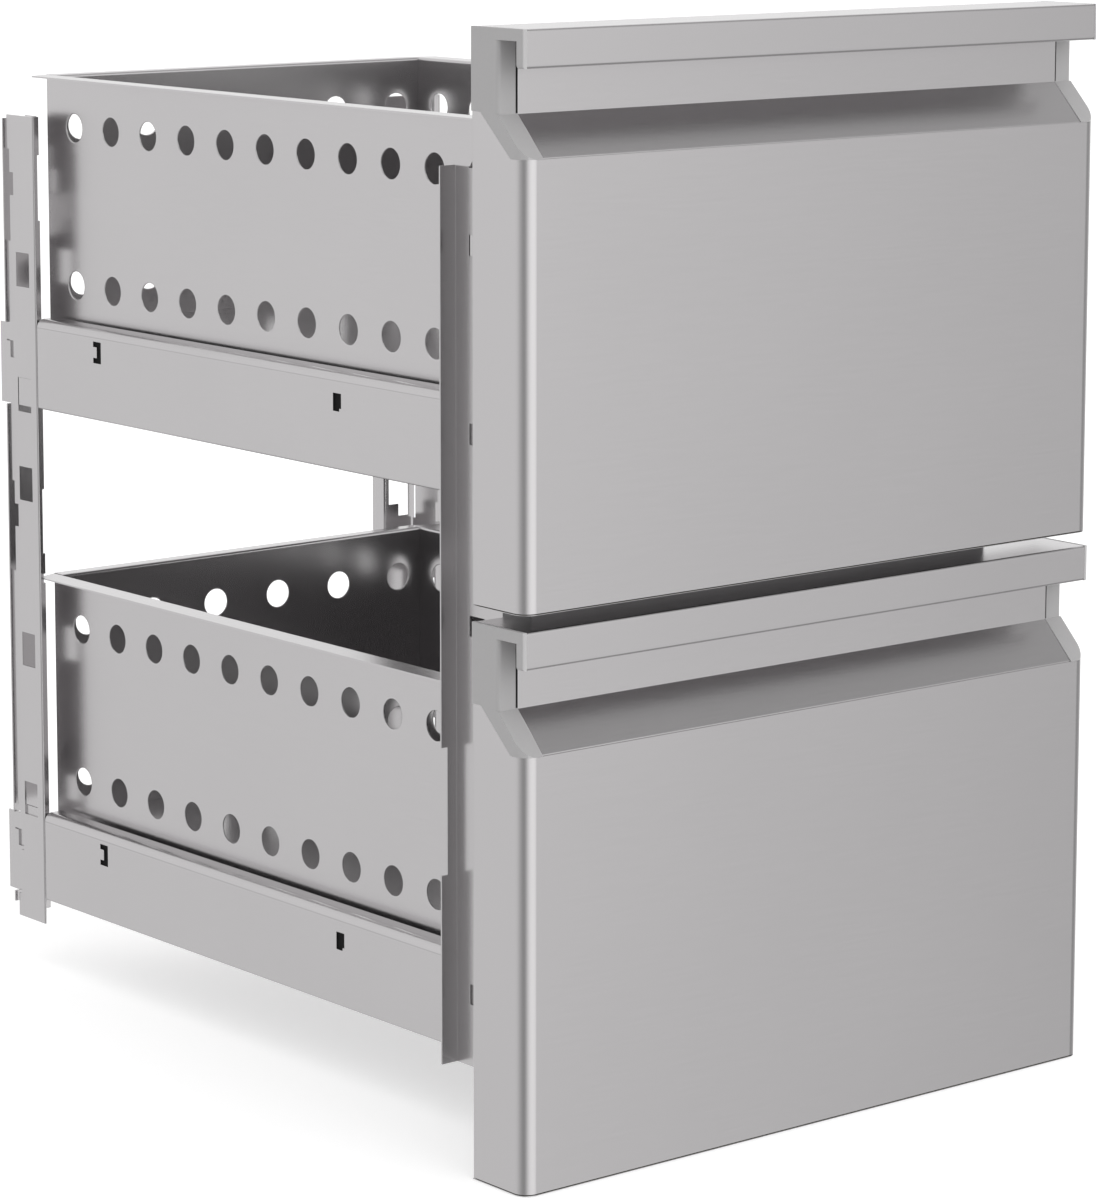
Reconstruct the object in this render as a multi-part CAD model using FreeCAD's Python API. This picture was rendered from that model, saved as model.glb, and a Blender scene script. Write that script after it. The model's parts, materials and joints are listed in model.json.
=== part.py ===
import FreeCAD, Part
import math
import os

os.makedirs("parts", exist_ok=True)
V = FreeCAD.Vector

# Drawer fronts, millimetres. X is the width, Y the depth (front at -Y), Z is up.
overall_depth = 618.0
front_width = 441.0
front_height = 319.0
front_thickness = 46.0
front_gap = 9.0
front_corner_radius = 9.0
front_sheet = 1.0
face_height = 249.0
slant_rise = 23.0
grip_depth = 22.5
skin_return = 17.0
return_bend = 1.6
plate_joint_gap = 0.2

# The grip: a lip over a recess, closed by a cap at each end
lip_height = 21.3
lip_leg = 5.8
lip_bar = 6.6
lip_setback = 1.0
lip_end_width = 2.6
lip_end_radius = 1.4
lip_corner_radius = 2.0
lip_back_return = 6.0
cap_width = 13.5
cap_strip = 12.0
cap_seam_rise = 24.0
cap_seam_back = 38.2
cap_edge_radius = 2.5
panel_tab = 12.0
core_clearance = 0.2

# Gasket behind each front
gasket_inset = 6.5
gasket_width = 10.0
gasket_depth = 6.0

# Drawer boxes
box_width = 298.0
box_height = 163.0
box_bottom = 99.0
box_sheet = 1.0
box_bend = 2.0
side_wall_reach = 9.4
rear_wall_inset = 8.3
rear_flange = 10.1
side_flange = 15.3
side_flange_cut = 6.0
front_tab = 11.0
tab_height_inset = 12.0
tab_screws = 3

# Ventilation holes
hole_diameter = 19.5
hole_count = 12
hole_rear_margin = 31.5
hole_front_margin = 41.0
hole_row_top = 33.0
hole_row_spacing = 101.8
rear_hole_pitch = 51.5
rear_hole_count = 6
drain_diameter = 8.0
drain_inset = 30.0

# Frame sheet metal
frame_sheet = 1.2
side_gap = 17.4
bend_radius = 1.4

# Rear uprights
rear_upright_bottom = 29.5
rear_upright_height = 534.2
rear_upright_web = 31.4
rear_flange_wide = 4.5
rear_flange_narrow = 2.6
rear_flange_bottom = 40.0
notch_base = 44.6
notch_pitch = 218.4
notch_count = 3
notch_shallow = 2.8
notch_deep = 7.0
notch_deep_start = 30.0
notch_deep_end = 45.0
notch_length = 60.2
flange_notch_start = 15.0
flange_notch_height = 42.5
web_slot_first = 100.1
web_slot_second = 200.7
web_slot_third = 311.3
web_slot_fourth = 370.1
web_slot_fifth = 452.3
web_slot_height = 22.4
web_slot_width = 15.5
web_slot_front = 7.0
tip_window_height = 6.0
hook_notch_depth = 5.2

# Wall standards behind the rear uprights
standard_bottom = 38.7
standard_top_drop = 2.5
standard_gap = 2.0
standard_reach = 1.6
standard_width = 26.7
standard_flange = 13.5
standard_window_rise = 2.0
standard_window_height = 28.5
standard_window_step = 10.6
standard_window_step_width = 8.4
standard_margin = 5.2
standard_inner_margin = 4.2
standard_clearance = 0.3

# Front uprights
front_upright_bottom = 38.7
front_upright_height = 524.3
front_upright_gap = 83.0
front_flange = 11.1
front_web = 65.0
front_flange_notch = 4.4
front_flange_notch_low = 151.3
front_flange_notch_high = 226.9
front_slot_first = 75.6
front_slot_second = 293.0
front_slot_third = 404.2
front_slot_fourth = 512.2
front_slot_height = 12.0
front_slot_length = 14.0
front_slot_back = 12.0
top_nick = 1.0

# Crossbar that ties the front uprights together, between the two gaskets
crossbar_gap = 0.8
crossbar_height = 26.6
crossbar_sheet = 4.8
crossbar_depth = 26.0
crossbar_end = 27.5
crossbar_slack = 0.2

# Rails that carry the slides
rail_bottom = 46.1
rail_height = 58.7
rail_top_flange = 13.3
rail_foot = 9.0
rail_top_radius = 5.6
bracket_slot_inset = 71.1
bracket_slot_top = 96.7
bracket_slot_height = 13.8
bracket_slot_bar = 4.8
bracket_serif = 4.0
bracket_serif_height = 3.4
clip_slot_inset = 327.9
clip_slot_top = 91.9
clip_slot_height = 10.8
clip_slot_width = 8.0
clip_nib = 1.8
tongue_length = 55.0
tongue_overlap = 24.0
tongue_height = 34.0

# Plates inside the rear uprights that carry the rear end of each rail
hook_tail_inset = 2.3
hook_top_drop = 5.5
hook_lug_rise = 6.8
hook_lug_front = 2.9
hook_lug_length = 22.0
rail_end_gap = 1.5
pad_side_gap = 0.1
pad_rear_gap = 0.6
mark_stem = 6.7
mark_width = 10.9
mark_bar = 0.9
mark_drop = 11.2
mark_height = 11.4
mark_backing = 3.0

# Telescopic slides, three members with two rows of balls between each pair
slide_rear_gap = 10.1
slide_front_gap = 30.8
slide_sheet = 1.4
outer_member_height = 45.0
outer_member_depth = 9.8
ball_diameter = 4.0
race_clearance = 0.05
member_gap = 0.8
middle_member_depth = 8.1
inner_member_depth = 7.9
slide_depth = 12.7
slide_bend = 1.6
cage_sheet = 0.6
cage_share = 0.475
cage_flange = 7.0
cage_balls = 4
ball_hole_clearance = 0.1
ball_offset = 6.6
inner_ball_offset = 7.3
cage_web_gap = 0.1

# Brackets between each slide and its box
carrier_sheet = 1.2
carrier_top_reach = 28.0
carrier_leg = 35.0
carrier_front_tab = 14.0
carrier_screw_shares = [0.3, 0.7]

# Screws and rivets
screw_diameter = 4.0
screw_head_diameter = 8.0
screw_head_height = 2.2
screw_length = 12.0
screw_clearance = 0.2
screw_recess = 3.0
rivet_diameter = 4.8
rivet_head_diameter = 8.0
rivet_head_height = 1.4
rivet_count = 4
rivet_inset = 40.0

# Places that follow from the sizes
cut_over = 1.0
rear_y = overall_depth / 2
front_face_y = -overall_depth / 2
front_back_y = front_face_y + front_thickness
front_half = front_width / 2
drawer_pitch = front_height + front_gap
box_half = box_width / 2
box_top = box_bottom + box_height
frame_half = box_half + side_gap
web_inside = frame_half - frame_sheet
recess_floor = face_height + slant_rise
lip_bottom = front_height - lip_height
bar_bottom = front_height - lip_bar
lip_back = lip_setback + lip_leg
panel_half = front_half - cap_width
lip_half = front_half - lip_end_width
seam_corner = face_height + cap_seam_rise
standard_front = rear_y - standard_flange
rear_upright_back = standard_front - standard_gap
rear_upright_front = rear_upright_back - rear_upright_web
rear_upright_top = rear_upright_bottom + rear_upright_height
side_wall_rear = rear_upright_front + side_wall_reach
rear_wall_y = side_wall_rear - rear_wall_inset
first_hole_y = side_wall_rear - hole_rear_margin
last_hole_y = front_back_y + hole_front_margin
hole_pitch = (first_hole_y - last_hole_y) / (hole_count - 1)
front_upright_bend = front_back_y + front_upright_gap
front_web_end = front_upright_bend - front_web
rail_front_y = front_upright_bend + frame_sheet
rail_top = rail_bottom + rail_height
slide_middle_z = (rail_bottom + rail_top) / 2
slide_rear = rear_upright_front - slide_rear_gap
slide_front = rail_front_y + slide_front_gap
slide_length = slide_rear - slide_front
cage_length = slide_length * cage_share
bracket_slot_y = rear_upright_front - bracket_slot_inset
clip_slot_y = rear_upright_front - clip_slot_inset
hook_tail = rear_y - hook_tail_inset
mark_front = rear_upright_back - hook_notch_depth
hook_top = rail_top - hook_top_drop
mark_top = hook_top - mark_drop
mark_low = mark_top - mark_height
crossbar_half = frame_half + front_flange
crossbar_middle = (drawer_pitch + front_height - lip_back_return) / 2
web_slots = [web_slot_first, web_slot_second, web_slot_third, web_slot_fourth, web_slot_fifth]
front_slots = [front_slot_first, front_slot_second, front_slot_third, front_slot_fourth]
slide_face = web_inside
slide_inner_face = slide_face - slide_depth
drawer_levels = {"lower": 0.0, "upper": drawer_pitch}
sides = {"left": -1.0, "right": 1.0}


def block(x0, x1, y0, y1, z0, z1):
    """A box between two corners, given in any order."""
    low = V(min(x0, x1), min(y0, y1), min(z0, z1))
    return Part.makeBox(abs(x1 - x0), abs(y1 - y0), abs(z1 - z0), low)


def rod(radius, length, base, axis):
    return Part.makeCylinder(radius, length, base, axis)


def put_right(shape, side):
    """Pieces are drawn on the left side; the right ones are their mirror image."""
    if side < 0:
        return shape
    return shape.mirror(V(0, 0, 0), V(1, 0, 0))


def lifted(shape, height):
    copy = shape.copy()
    copy.translate(V(0, 0, height))
    return copy


def corner_arc(before, corner, after, radius):
    """Start, middle and end of the arc that rounds a corner, or the bare corner."""
    u = (before - corner).normalize()
    w = (after - corner).normalize()
    half = u.getAngle(w) / 2
    if radius <= 0 or half > math.pi / 2 - 1e-6:
        return [corner]
    reach = radius / math.tan(half)
    bisector = (u + w).normalize()
    centre = corner + bisector * (radius / math.sin(half))
    middle = centre - bisector * radius
    return [corner + u * reach, middle, corner + w * reach]


def chain(points, radii):
    """The points of a polyline with its inner corners rounded."""
    stations = [[points[0]]]
    for i in range(1, len(points) - 1):
        stations.append(corner_arc(points[i - 1], points[i], points[i + 1], radii[i - 1]))
    stations.append([points[-1]])
    return stations


def edges_of(stations):
    edges = []
    for i, station in enumerate(stations):
        if len(station) == 3:
            edges.append(Part.Arc(*station).toShape())
        if i + 1 < len(stations):
            edges.append(Part.LineSegment(station[-1], stations[i + 1][0]).toShape())
    return edges


def offset_points(points, distance):
    """The polyline moved sideways, to its left for a positive distance."""
    moved = []
    normals = []
    for a, b in zip(points, points[1:]):
        d = (b - a).normalize()
        normals.append(V(-d.y, d.x, 0))
    for i, p in enumerate(points):
        if i == 0:
            moved.append(p + normals[0] * distance)
        elif i == len(points) - 1:
            moved.append(p + normals[-1] * distance)
        else:
            n = normals[i - 1] + normals[i]
            moved.append(p + n * (distance / (1 + normals[i - 1].dot(normals[i]))))
    return moved


def folded_face(points, thickness, radii, side):
    """A folded sheet's section in a plane: its outer face is the polyline and
    the metal lies to the given side of it, +1 for left. Radii are the outer
    radii of the bends."""
    flat = [V(p[0], p[1], 0) for p in points]
    shifted = offset_points(flat, side * thickness)
    near = []
    far = []
    for i in range(1, len(flat) - 1):
        a = flat[i] - flat[i - 1]
        b = flat[i + 1] - flat[i]
        turn = a.x * b.y - a.y * b.x
        outer_is_near = turn * side > 0
        small = max(radii[i - 1] - thickness, 0.0)
        near.append(radii[i - 1] if outer_is_near else small)
        far.append(small if outer_is_near else radii[i - 1])
    front = chain(flat, near)
    back = chain(shifted[::-1], far[::-1])
    edges = edges_of(front)
    edges.append(Part.LineSegment(front[-1][-1], back[0][0]).toShape())
    edges += edges_of(back)
    edges.append(Part.LineSegment(back[-1][-1], front[0][0]).toShape())
    return Part.Face(Part.Wire(edges))


def outline_face(points, radii=None):
    """A closed outline with rounded corners."""
    flat = [V(p[0], p[1], 0) for p in points]
    radii = radii or [0.0] * len(flat)
    stations = []
    for i, p in enumerate(flat):
        following = flat[(i + 1) % len(flat)]
        stations.append(corner_arc(flat[i - 1], p, following, radii[i]))
    edges = []
    for i, station in enumerate(stations):
        if len(station) == 3:
            edges.append(Part.Arc(*station).toShape())
        nearest = stations[(i + 1) % len(stations)][0]
        edges.append(Part.LineSegment(station[-1], nearest).toShape())
    return Part.Face(Part.Wire(edges))


def raised(face, z0, z1):
    """A section drawn in X and Y, pulled up from z0 to z1."""
    solid = face.extrude(V(0, 0, z1 - z0))
    solid.translate(V(0, 0, z0))
    return solid


def along_y(face, y0, y1):
    """A section drawn in X and Z (as its x and y), pulled along Y."""
    solid = face.extrude(V(0, 0, y1 - y0))
    solid.rotate(V(0, 0, 0), V(1, 0, 0), 90)
    solid.translate(V(0, y1, 0))
    return solid


def across_x(face, x0, x1):
    """A section drawn in depth behind the front face and Z, pulled along X."""
    solid = face.extrude(V(0, 0, x1 - x0))
    turn = FreeCAD.Matrix(0, 0, 1, x0, 1, 0, 0, front_face_y, 0, 1, 0, 0, 0, 0, 0, 1)
    return solid.transformShape(turn, True)


def plan_outline(inset, radius, front_depth, back_depth):
    """The front seen from above, with its two front corners rounded."""
    half = front_half - inset
    y0 = front_face_y + front_depth
    y1 = front_face_y + back_depth
    points = [(-half, y0), (half, y0), (half, y1), (-half, y1)]
    return outline_face(points, [radius, radius, 0.0, 0.0])


def front_skin():
    """The steel skin: face, wrapped sides, returns behind and a closed bottom."""
    back = front_back_y
    inner = front_half - skin_return
    points = [(-inner, back), (-front_half, back), (-front_half, front_face_y),
              (front_half, front_face_y), (front_half, back), (inner, back)]
    radii = [return_bend, front_corner_radius, front_corner_radius, return_bend]
    skin = raised(folded_face(points, front_sheet, radii, 1), 0.0, seam_corner)
    above = [(-cut_over, face_height), (cap_strip, face_height), (cap_seam_back, seam_corner),
             (cap_seam_back, seam_corner + cut_over), (-cut_over, seam_corner + cut_over)]
    skin = skin.cut(across_x(outline_face(above), -front_half - cut_over, front_half + cut_over))
    floor = plan_outline(front_sheet / 2, front_corner_radius - front_sheet / 2,
                         front_sheet / 2, front_thickness - front_sheet / 2)
    return skin.fuse(raised(floor, 0.0, front_sheet)).removeSplitter()


def grip_panel():
    """Steel behind the fingers: a tab, the slant and the upright recess face."""
    points = [(front_sheet, face_height - panel_tab), (front_sheet, face_height + front_sheet / 2),
              (grip_depth, recess_floor), (grip_depth, bar_bottom)]
    section = folded_face(points, front_sheet, [0.0, return_bend], -1)
    return across_x(section, -panel_half, panel_half)


def grip_lip():
    """The folded lip: pocket ceiling, hollow front leg, top and a short return."""
    points = [(grip_depth + front_sheet, bar_bottom), (lip_back, bar_bottom),
              (lip_back, lip_bottom), (lip_setback, lip_bottom), (lip_setback, front_height),
              (front_thickness, front_height), (front_thickness, front_height - lip_back_return)]
    radii = [return_bend] * (len(points) - 2)
    section = folded_face(points, front_sheet, radii, -1)
    return across_x(section, -lip_half, lip_half)


def end_cap():
    """The left cap: a body beside the recess and a rounded end for the lip."""
    body = [(0.0, face_height), (cap_strip, face_height), (cap_seam_back, seam_corner),
            (front_thickness, seam_corner), (front_thickness, bar_bottom),
            (grip_depth, bar_bottom), (grip_depth, recess_floor)]
    beam = across_x(outline_face(body), -front_half, -panel_half)
    low = raised(plan_outline(0.0, front_corner_radius, 0.0, front_thickness),
                 face_height, recess_floor)
    high = raised(plan_outline(0.0, cap_edge_radius, grip_depth, front_thickness),
                  recess_floor, bar_bottom)
    beam = beam.common(low.fuse(high))
    end = [(lip_setback, lip_bottom), (lip_back, lip_bottom), (lip_back, bar_bottom),
           (front_thickness, bar_bottom), (front_thickness, front_height),
           (lip_setback, front_height)]
    hood = across_x(outline_face(end), -front_half, -lip_half)
    shape = raised(plan_outline(0.0, lip_end_radius, lip_setback, front_thickness),
                   lip_bottom, front_height)
    corners = [(-front_half, lip_bottom), (front_half, lip_bottom),
               (front_half, front_height), (-front_half, front_height)]
    rounded = along_y(outline_face(corners, [lip_corner_radius, lip_corner_radius, 0.0, 0.0]),
                      front_face_y, front_back_y)
    return beam.fuse(hood.common(shape).common(rounded)).removeSplitter()


def back_plate():
    """The rear sheet, between the skin's returns and wider above them."""
    low = front_half - skin_return - plate_joint_gap
    high = panel_half - plate_joint_gap
    step = seam_corner + plate_joint_gap
    top = front_height - lip_back_return - plate_joint_gap
    points = [(-low, front_sheet), (low, front_sheet), (low, step), (high, step),
              (high, top), (-high, top), (-high, step), (-low, step)]
    plate = along_y(outline_face(points), front_back_y - front_sheet, front_back_y)
    return plate.cut(screw_holes(screw_diameter + screw_clearance))


def insulation_core():
    """Foam that fills the front between its skin, panel and rear plate."""
    near = 2 * front_sheet + core_clearance
    back = front_thickness - front_sheet - core_clearance
    deep = grip_depth + front_sheet + core_clearance
    low = front_sheet + core_clearance
    points = [(near, low), (back, low), (back, bar_bottom), (deep, bar_bottom),
              (deep, recess_floor - front_sheet), (near, face_height - front_sheet)]
    middle = across_x(outline_face(points), -panel_half + core_clearance,
                      panel_half - core_clearance)
    inset = front_sheet + core_clearance
    plan = plan_outline(inset, front_corner_radius - inset, near, back)
    wide = raised(plan, low, face_height - panel_tab)
    core = middle.fuse(wide).removeSplitter()
    return core.cut(screw_holes(screw_diameter + 2 * screw_clearance))


def door_gasket():
    """A soft frame that closes the front against the cabinet."""
    half = front_half - gasket_inset
    low = gasket_inset
    high = front_height - lip_back_return - gasket_inset
    outer = block(-half, half, front_back_y, front_back_y + gasket_depth, low, high)
    hollow = block(-half + gasket_width, half - gasket_width, front_back_y - cut_over,
                   front_back_y + gasket_depth + cut_over, low + gasket_width, high - gasket_width)
    return outer.cut(hollow)


def tab_screw_places():
    """Screws that hold the box and the slide brackets to the rear plate."""
    places = []
    x = box_half + front_tab / 2
    usable = box_height - 2 * tab_height_inset
    for i in range(tab_screws):
        z = box_bottom + tab_height_inset + usable * (i + 0.5) / tab_screws
        places.append((x, z))
    x = slide_inner_face - carrier_sheet - carrier_front_tab / 2
    for share in carrier_screw_shares:
        places.append((x, box_bottom - carrier_leg * share))
    return [(s * x, z) for s in sides.values() for x, z in places]


def screw_holes(diameter):
    """Clearance holes along Y for the screws, as deep as the screws reach."""
    tools = []
    for x, z in tab_screw_places():
        start = V(x, front_back_y + 2 * carrier_sheet, z)
        length = screw_length + 2 * carrier_sheet + screw_clearance
        tools.append(rod(diameter / 2, length, start, V(0, -1, 0)))
    return Part.makeCompound(tools)


def front_screws():
    screws = []
    for x, z in tab_screw_places():
        sheet = box_sheet if abs(x) > box_half else carrier_sheet
        seat = front_back_y + sheet
        head = rod(screw_head_diameter / 2, screw_head_height, V(x, seat, z), V(0, 1, 0))
        shank = rod(screw_diameter / 2, screw_length, V(x, seat, z), V(0, -1, 0))
        reach = screw_head_height / 2
        recess = block(x - screw_recess / 2, x + screw_recess / 2, seat + reach,
                       seat + 2 * screw_head_height, z - screw_recess / 6, z + screw_recess / 6)
        screws.append(head.fuse(shank).cut(recess))
    return screws


def side_holes():
    """Two rows of round holes through one side wall."""
    tools = []
    radius = hole_diameter / 2
    top_row = box_top - hole_row_top
    for z in (top_row, top_row - hole_row_spacing):
        for i in range(hole_count):
            y = first_hole_y - i * hole_pitch
            start = V(-box_half - box_sheet, y, z)
            tools.append(rod(radius, 3 * box_sheet, start, V(1, 0, 0)))
    return tools


def box_shell():
    """Floor, walls and top flanges folded from one sheet, with two front tabs."""
    tip = box_half + side_flange
    inner = box_half - box_sheet
    floor_top = box_bottom + box_sheet
    points = [(-tip, box_top), (-inner, box_top), (-inner, floor_top),
              (inner, floor_top), (inner, box_top), (tip, box_top)]
    section = folded_face(points, box_sheet, [box_bend] * 4, -1)
    shell = along_y(section, front_back_y, side_wall_rear)
    clear = inner - box_bend
    tools = [block(-clear, clear, rear_wall_y + box_sheet, side_wall_rear + cut_over,
                   box_bottom - cut_over, floor_top + box_bend)]
    for sign in sides.values():
        tools.append(block(sign * box_half, sign * (tip + cut_over), front_back_y - cut_over,
                           front_back_y + front_tab, box_top - box_bend, box_top + cut_over))
        plan = [(sign * box_half, side_wall_rear), (sign * tip, side_wall_rear - side_flange_cut),
                (sign * (tip + cut_over), side_wall_rear - side_flange_cut),
                (sign * (tip + cut_over), side_wall_rear + cut_over),
                (sign * box_half, side_wall_rear + cut_over)]
        tools.append(raised(outline_face(plan), box_top - box_bend, box_top + cut_over))
        for hole in side_holes():
            tools.append(put_right(hole, sign))
    for x in (-box_half + drain_inset, box_half - drain_inset):
        for y in (front_back_y + drain_inset, rear_wall_y - drain_inset):
            start = V(x, y, box_bottom - box_sheet)
            tools.append(rod(drain_diameter / 2, 3 * box_sheet, start, V(0, 0, 1)))
    shell = shell.cut(Part.makeCompound(tools))
    tab = block(-box_half - front_tab, -box_half, front_back_y, front_back_y + box_sheet,
                box_bottom + tab_height_inset, box_top - tab_height_inset)
    tab = tab.cut(screw_holes(screw_diameter + screw_clearance))
    return shell.fuse([tab, put_right(tab, 1)]).removeSplitter()


def box_rear_wall():
    """The rear wall, set in from the ends of the side walls, with its flange."""
    half = box_half - box_sheet
    depth = rear_wall_y - front_face_y
    points = [(depth + rear_flange, box_top), (depth, box_top), (depth, box_bottom + box_sheet)]
    wall = across_x(folded_face(points, box_sheet, [box_bend], 1), -half, half)
    floor_bend = box_bend - box_sheet
    tools = [block(sign * (half - floor_bend), sign * (half + cut_over), rear_wall_y - cut_over,
                   rear_wall_y + box_bend, box_bottom, box_bottom + box_bend)
             for sign in sides.values()]
    top_row = box_top - hole_row_top
    for z in (top_row, top_row - hole_row_spacing):
        for i in range(rear_hole_count):
            x = (i - (rear_hole_count - 1) / 2) * rear_hole_pitch
            start = V(x, rear_wall_y - box_sheet, z)
            tools.append(rod(hole_diameter / 2, 3 * box_sheet, start, V(0, 1, 0)))
    return wall.cut(Part.makeCompound(tools))


def rear_upright():
    """The slotted left rear upright: web, front flange and notched edges."""
    points = [(-frame_half + rear_flange_wide, rear_upright_front),
              (-frame_half, rear_upright_front), (-frame_half, rear_upright_back)]
    section = folded_face(points, frame_sheet, [bend_radius], -1)
    post = raised(section, rear_upright_bottom, rear_upright_top)
    tools = [block(-web_inside, -frame_half + 2 * rear_flange_wide, rear_upright_front - cut_over,
                   rear_upright_front + bend_radius, rear_upright_bottom - cut_over, rear_flange_bottom)]
    for k in range(notch_count):
        base = notch_base + k * notch_pitch
        for low, high, depth in ((0.0, notch_length, notch_shallow),
                                 (notch_deep_start, notch_deep_end, notch_deep)):
            tools.append(block(-frame_half - cut_over, -web_inside + cut_over, rear_upright_back - depth,
                               rear_upright_back + cut_over, base + low, base + high))
        low = base + flange_notch_start
        tools.append(block(-frame_half + rear_flange_narrow, -frame_half + 2 * rear_flange_wide,
                           rear_upright_front - cut_over, rear_upright_front + bend_radius,
                           low, low + flange_notch_height))
    for z in web_slots:
        y = rear_upright_front + web_slot_front
        tools.append(block(-frame_half - cut_over, -web_inside + cut_over, y, y + web_slot_width,
                           z, z + web_slot_height))
    for level in drawer_levels.values():
        z = level + box_top - box_sheet / 2
        tools.append(block(-web_inside, -frame_half + 2 * rear_flange_wide,
                           rear_upright_front - cut_over, rear_upright_front + bend_radius,
                           z - tip_window_height / 2, z + tip_window_height / 2))
        tools.append(block(-web_inside, -frame_half + 2 * rear_flange_wide,
                           rear_upright_front - cut_over, rear_upright_front + bend_radius,
                           level + rail_bottom - standard_clearance,
                           level + hook_top + standard_clearance))
        tools.append(block(-frame_half - cut_over, -web_inside + cut_over, mark_front,
                           rear_upright_back + cut_over, level + mark_low, level + mark_top))
    return post.cut(Part.makeCompound(tools))


def wall_standard():
    """The left standard behind the upright: a windowed face and a rear flange."""
    outer = frame_half + standard_reach
    inner = outer - standard_width
    front = standard_front
    points = [(-outer, front), (-inner, front), (-inner, front + standard_flange)]
    section = folded_face(points, frame_sheet, [bend_radius], 1)
    post = raised(section, standard_bottom, rear_upright_top - standard_top_drop)
    tools = []
    for k in range(notch_count):
        base = notch_base + k * notch_pitch
        top = base + standard_window_height
        edge = inner + standard_inner_margin
        step = edge + standard_window_step_width
        tools.append(block(-outer + standard_margin, -step, front - cut_over, front + 2 * frame_sheet,
                           base + standard_window_rise, top))
        tools.append(block(-step - cut_over, -edge, front - cut_over, front + 2 * frame_sheet,
                           base + standard_window_step, top))
    for level in drawer_levels.values():
        tools.append(block(-outer - cut_over, -web_inside + 2 * frame_sheet + standard_clearance,
                           front - cut_over, front + 2 * frame_sheet,
                           level + rail_bottom - standard_clearance,
                           level + hook_top + standard_clearance))
    return post.cut(Part.makeCompound(tools))


def front_upright():
    """The left front upright: a flange behind the cabinet's edge and a slotted web."""
    top = front_upright_bottom + front_upright_height
    points = [(-frame_half - front_flange, front_upright_bend),
              (-frame_half, front_upright_bend), (-frame_half, front_web_end)]
    section = folded_face(points, frame_sheet, [bend_radius], 1)
    post = raised(section, front_upright_bottom, top)
    tools = [block(-frame_half - front_flange - cut_over, -frame_half - front_flange
                   + front_flange_notch, front_upright_bend - cut_over,
                   front_upright_bend + 2 * frame_sheet, front_flange_notch_low,
                   front_flange_notch_high)]
    slot_rear = front_upright_bend - front_slot_back
    for z in front_slots:
        tools.append(block(-frame_half - cut_over, -web_inside + cut_over, slot_rear - front_slot_length,
                           slot_rear, z, z + front_slot_height))
    tools.append(block(-frame_half - cut_over, -web_inside + cut_over, slot_rear - front_slot_length,
                       slot_rear, top - top_nick, top + cut_over))
    return post.cut(Part.makeCompound(tools))


def front_crossbar():
    """A flat bar across the front, deeper at each end and slotted over the upright's web."""
    front = front_back_y + crossbar_gap
    back = front + crossbar_depth
    low = crossbar_middle - crossbar_height / 2
    high = low + crossbar_height
    bar = block(-crossbar_half, crossbar_half, front, front + crossbar_sheet, low, high)
    end = block(-crossbar_half, -crossbar_half + crossbar_end, front, back, low, high)
    slot = block(-frame_half - crossbar_slack, -web_inside + crossbar_slack, front_web_end,
                 back + cut_over, low - cut_over, high + cut_over)
    end = end.cut(slot)
    return bar.fuse([end, put_right(end, 1)]).removeSplitter()


def rail():
    """The lower left rail: a C section with a tongue inside the front upright."""
    points = [(-frame_half + rail_top_flange, rail_top), (-frame_half, rail_top),
              (-frame_half, rail_bottom), (-frame_half + rail_foot, rail_bottom)]
    section = folded_face(points, frame_sheet, [rail_top_radius, bend_radius], 1)
    channel = along_y(section, rail_front_y, rear_upright_front - rail_end_gap)
    outside = -frame_half - cut_over
    inside = -web_inside + cut_over
    bar = block(outside, inside, bracket_slot_y - bracket_slot_bar, bracket_slot_y,
                bracket_slot_top - bracket_slot_height, bracket_slot_top)
    serifs = []
    for z in (bracket_slot_top - bracket_serif_height, bracket_slot_top - bracket_slot_height):
        serifs.append(block(outside, inside, bracket_slot_y - cut_over,
                            bracket_slot_y + bracket_serif, z, z + bracket_serif_height))
    clip = block(outside, inside, clip_slot_y - clip_slot_width / 2,
                 clip_slot_y + clip_slot_width / 2, clip_slot_top - clip_slot_height,
                 clip_slot_top)
    nib = block(outside, inside, clip_slot_y - clip_slot_width / 2,
                clip_slot_y - clip_slot_width / 2 + clip_nib,
                clip_slot_top - clip_slot_height, clip_slot_top - clip_slot_height + clip_nib)
    channel = channel.cut(Part.makeCompound([bar.fuse(serifs), clip.cut(nib)]))
    tongue = block(-web_inside, -web_inside + frame_sheet, rail_front_y + tongue_overlap,
                   rail_front_y - tongue_length, slide_middle_z - tongue_height / 2,
                   slide_middle_z + tongue_height / 2)
    return channel.fuse(tongue).removeSplitter()


def slot_pads(level):
    """Raised pads of the hook plate that fill the upright's slots over it."""
    pads = []
    for z in web_slots:
        low = max(z, level + rail_bottom)
        high = min(z + web_slot_height - pad_side_gap, level + hook_top)
        if low < high:
            y = rear_upright_front + web_slot_front
            pads.append(block(-web_inside, -frame_half + pad_side_gap, y + pad_side_gap,
                              y + web_slot_width - pad_rear_gap, low - level, high - level))
    return pads


def hook_plate(level):
    """The plate inside the left upright that carries the rear end of the rail."""
    near = -web_inside
    far = near + frame_sheet
    plate = block(near, far, rear_upright_front, hook_tail, rail_bottom, hook_top)
    tab = block(near, far, slide_rear + standard_clearance, rear_upright_front,
                rail_bottom + bend_radius, rail_top - rail_top_radius - standard_clearance)
    lug_front = rear_upright_front + hook_lug_front
    lug = block(near, far, lug_front, lug_front + hook_lug_length, rail_bottom,
                hook_top + hook_lug_rise)
    bar = block(near, far, mark_front, mark_front + mark_width, mark_top - mark_bar, mark_top)
    stem = block(near, far, mark_front, mark_front + mark_stem, mark_low, mark_top)
    backing = block(far, far + frame_sheet, mark_front - mark_backing,
                    mark_front + mark_width + mark_backing, mark_low - mark_backing,
                    mark_top + mark_backing)
    plate = plate.fuse([tab, lug] + slot_pads(level)).cut(bar.fuse(stem))
    return plate.fuse(backing).removeSplitter()


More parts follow.
